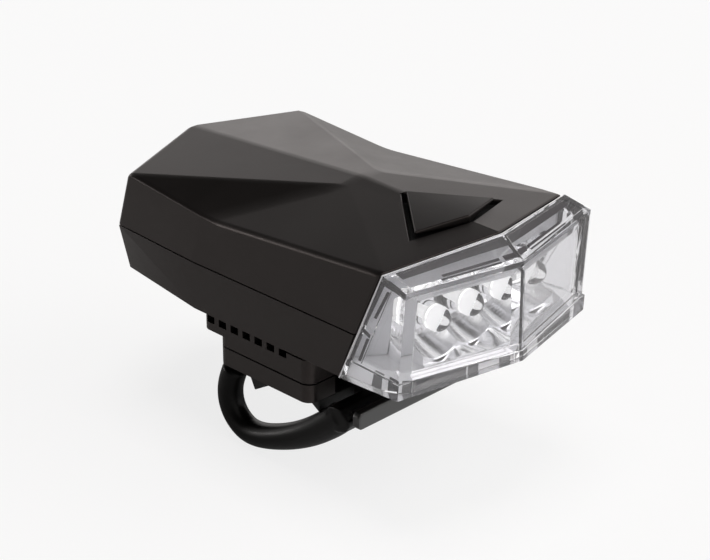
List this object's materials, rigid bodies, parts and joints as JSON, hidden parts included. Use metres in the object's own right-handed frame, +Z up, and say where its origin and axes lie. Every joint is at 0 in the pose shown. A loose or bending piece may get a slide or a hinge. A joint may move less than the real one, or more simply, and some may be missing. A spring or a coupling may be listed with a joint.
{
  "type": "bicycle headlight",
  "caption": "Faceted battery bicycle headlight with a clear wedge lens, a push button on top and a swivelling quick-release saddle held under a handlebar by a rubber loop strap.",
  "frame": {"origin": "middle of the saddle's underside, where the handlebar is cradled", "axes": "+X across the bike along the handlebar, -Y along the beam, +Z up"},
  "size_m": [0.0522, 0.094, 0.0557],
  "materials": {
    "case": "fine satin texture, black",
    "seal": "matte black rubber",
    "lens": "clear moulded polycarbonate",
    "reflector": "vacuum metallised",
    "diode": "clear epoxy with a pale chip",
    "board": "solder mask",
    "button": "satin black",
    "inner_plastic": "moulded dark grey",
    "cell": "plain sleeve",
    "contact": "nickel plated",
    "steel": "zinc plated",
    "bracket": "satin black",
    "pad": "matte black rubber",
    "strap": "smooth black rubber"
  },
  "bodies": {
    "saddle": {"saddle": "bracket", "bar_pad": "pad", "pivot_bolt": "steel", "pivot_washer": "inner_plastic"},
    "shoe": {"shoe": "bracket", "pivot_nut": "steel"},
    "light": {"upper_case": "case", "lower_case": "case", "case_seal": "seal", "lens": "lens", "lens_gasket": "seal", "reflector": "reflector", "led_left_outer": "diode", "led_left_inner": "diode", "led_right_inner": "diode", "led_right_outer": "diode", "led_board": "board", "button_boot": "seal", "switch_body": "inner_plastic", "main_board": "board", "cell_tray": "inner_plastic", "cell_left": "cell", "cell_middle": "cell", "cell_right": "cell", "contacts_front": "contact", "contacts_rear": "contact", "case_screws": "steel", "rail": "bracket", "rail_screws": "steel"},
    "button": {"button": "button"},
    "strap": {"strap": "strap"}
  },
  "joints": [
    {"name": "swivel", "type": "hinge", "parent": "saddle", "child": "shoe", "pos_m": [0, 0.0038, 0.004], "axis": [0, 0, 1], "range_deg": [-15, 15]},
    {"name": "quick_release", "type": "slide", "parent": "shoe", "child": "light", "axis": [0, 1, 0], "range_m": [0, 0.024]},
    {"name": "button_press", "type": "slide", "parent": "light", "child": "button", "axis": [0, 0, -1], "range_m": [0, 0.0008], "stiffness_N_per_m": 1500},
    {"name": "strap_swing", "type": "hinge", "parent": "saddle", "child": "strap", "pos_m": [0, 0.0142, 0.0012], "axis": [1, 0, 0], "range_deg": [0, 45]}
  ]
}
